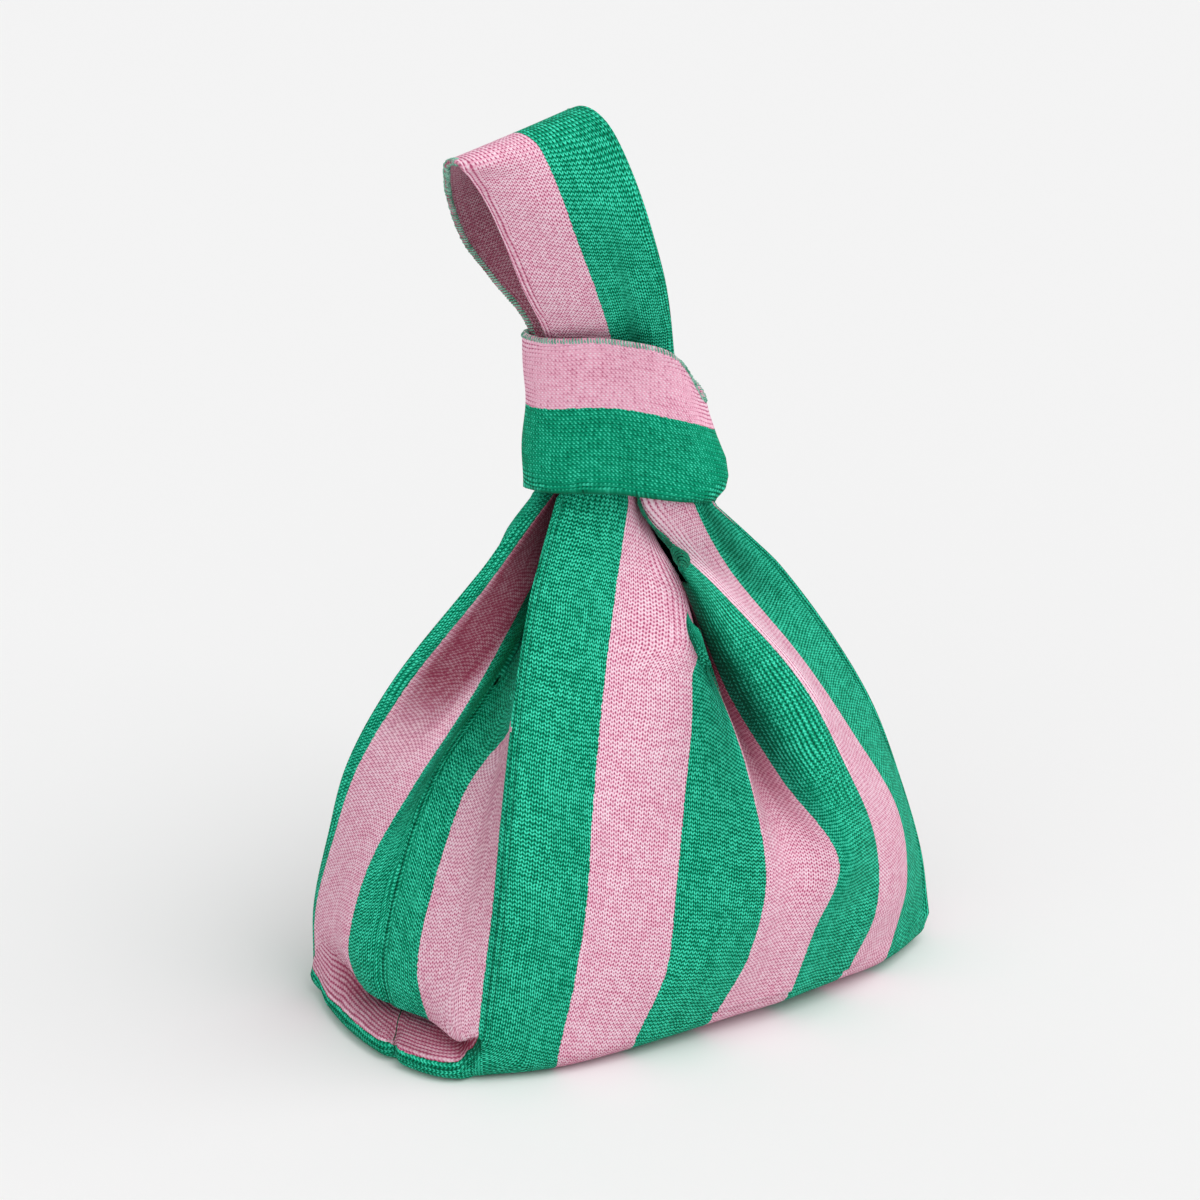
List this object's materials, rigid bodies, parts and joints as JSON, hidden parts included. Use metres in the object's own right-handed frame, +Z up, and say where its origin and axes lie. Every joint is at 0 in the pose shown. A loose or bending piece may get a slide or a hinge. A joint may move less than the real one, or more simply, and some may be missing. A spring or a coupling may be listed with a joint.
{
  "type": "knitted knot bag",
  "caption": "Small knitted knot bag with broad stripes, closed by its long strap pulled through its short strap, standing on a flat base.",
  "frame": {"origin": "centre of the bounding box at the level of the surface that the base rests on", "axes": "+Z up along the long strap, +X across the front of the bag to its right, +Y from the front of the bag to its back"},
  "size_m": [0.2446, 0.1636, 0.3587],
  "materials": {
    "front_knit": "matte knit in broad green and pink stripes",
    "back_knit": "matte knit in broad pink and green stripes",
    "short_strap_knit": "matte ribbed knit, green with a pink upper band",
    "long_strap_knit": "matte ribbed knit, half pink and half green"
  },
  "bodies": {
    "root": {"front_panel": "front_knit", "back_panel": "back_knit", "short_loop": "short_strap_knit", "long_loop": "long_strap_knit"}
  },
  "joints": []
}
